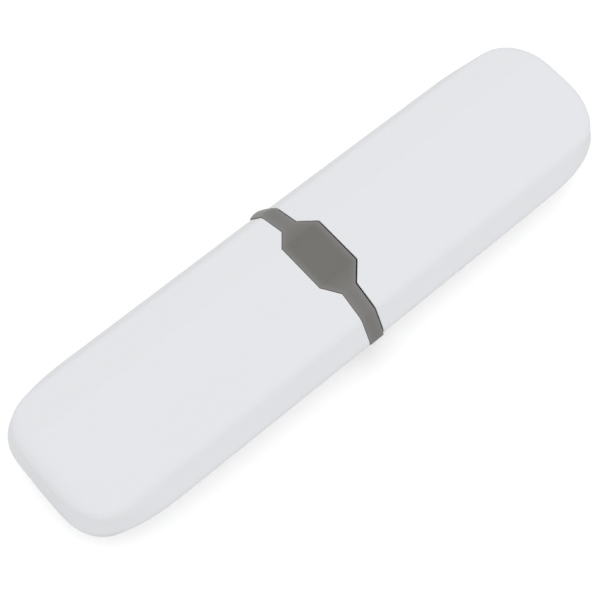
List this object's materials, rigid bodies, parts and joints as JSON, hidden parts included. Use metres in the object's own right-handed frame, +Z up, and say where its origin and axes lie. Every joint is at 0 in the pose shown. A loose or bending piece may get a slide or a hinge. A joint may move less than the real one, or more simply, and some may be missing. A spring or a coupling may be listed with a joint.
{
  "type": "toothbrush travel case",
  "caption": "Slim travel case for an electric toothbrush: faceted white body and pull-off cap with rounded ends, grey belt with eight-cornered pads and a side release button.",
  "frame": {"origin": "under the belt's middle, on the flat underside that the case rests on", "axes": "+X along the case towards the cap, +Y to the side with the release button, +Z up from the resting face"},
  "size_m": [0.2358, 0.0634, 0.0338],
  "materials": {
    "white_shell": "satin moulded white plastic",
    "grey_collar": "satin moulded grey plastic",
    "white_inner": "moulded white plastic",
    "soft_dark": "soft dark elastomer",
    "spring_steel": "spring steel strip"
  },
  "bodies": {
    "case_body": {"body_shell": "white_shell", "belt_collar": "grey_collar", "neck_seal": "soft_dark", "button_spring": "spring_steel", "handle_cradle": "white_inner", "cradle_pads": "soft_dark", "base_pad": "soft_dark"},
    "cap": {"cap_shell": "white_shell", "head_rack": "white_inner", "shaft_cup": "soft_dark"},
    "button": {"release_button": "grey_collar", "latch_plate": "grey_collar"}
  },
  "joints": [
    {"name": "cap_slide", "type": "slide", "parent": "case_body", "child": "cap", "axis": [1, 0, 0], "range_m": [0, 0.06]},
    {"name": "button_press", "type": "slide", "parent": "case_body", "child": "button", "axis": [0, -1, 0], "range_m": [0, 0.0011], "stiffness_N_per_m": 1200, "springref_m": -0.0004, "deforming": ["button_spring"]}
  ]
}
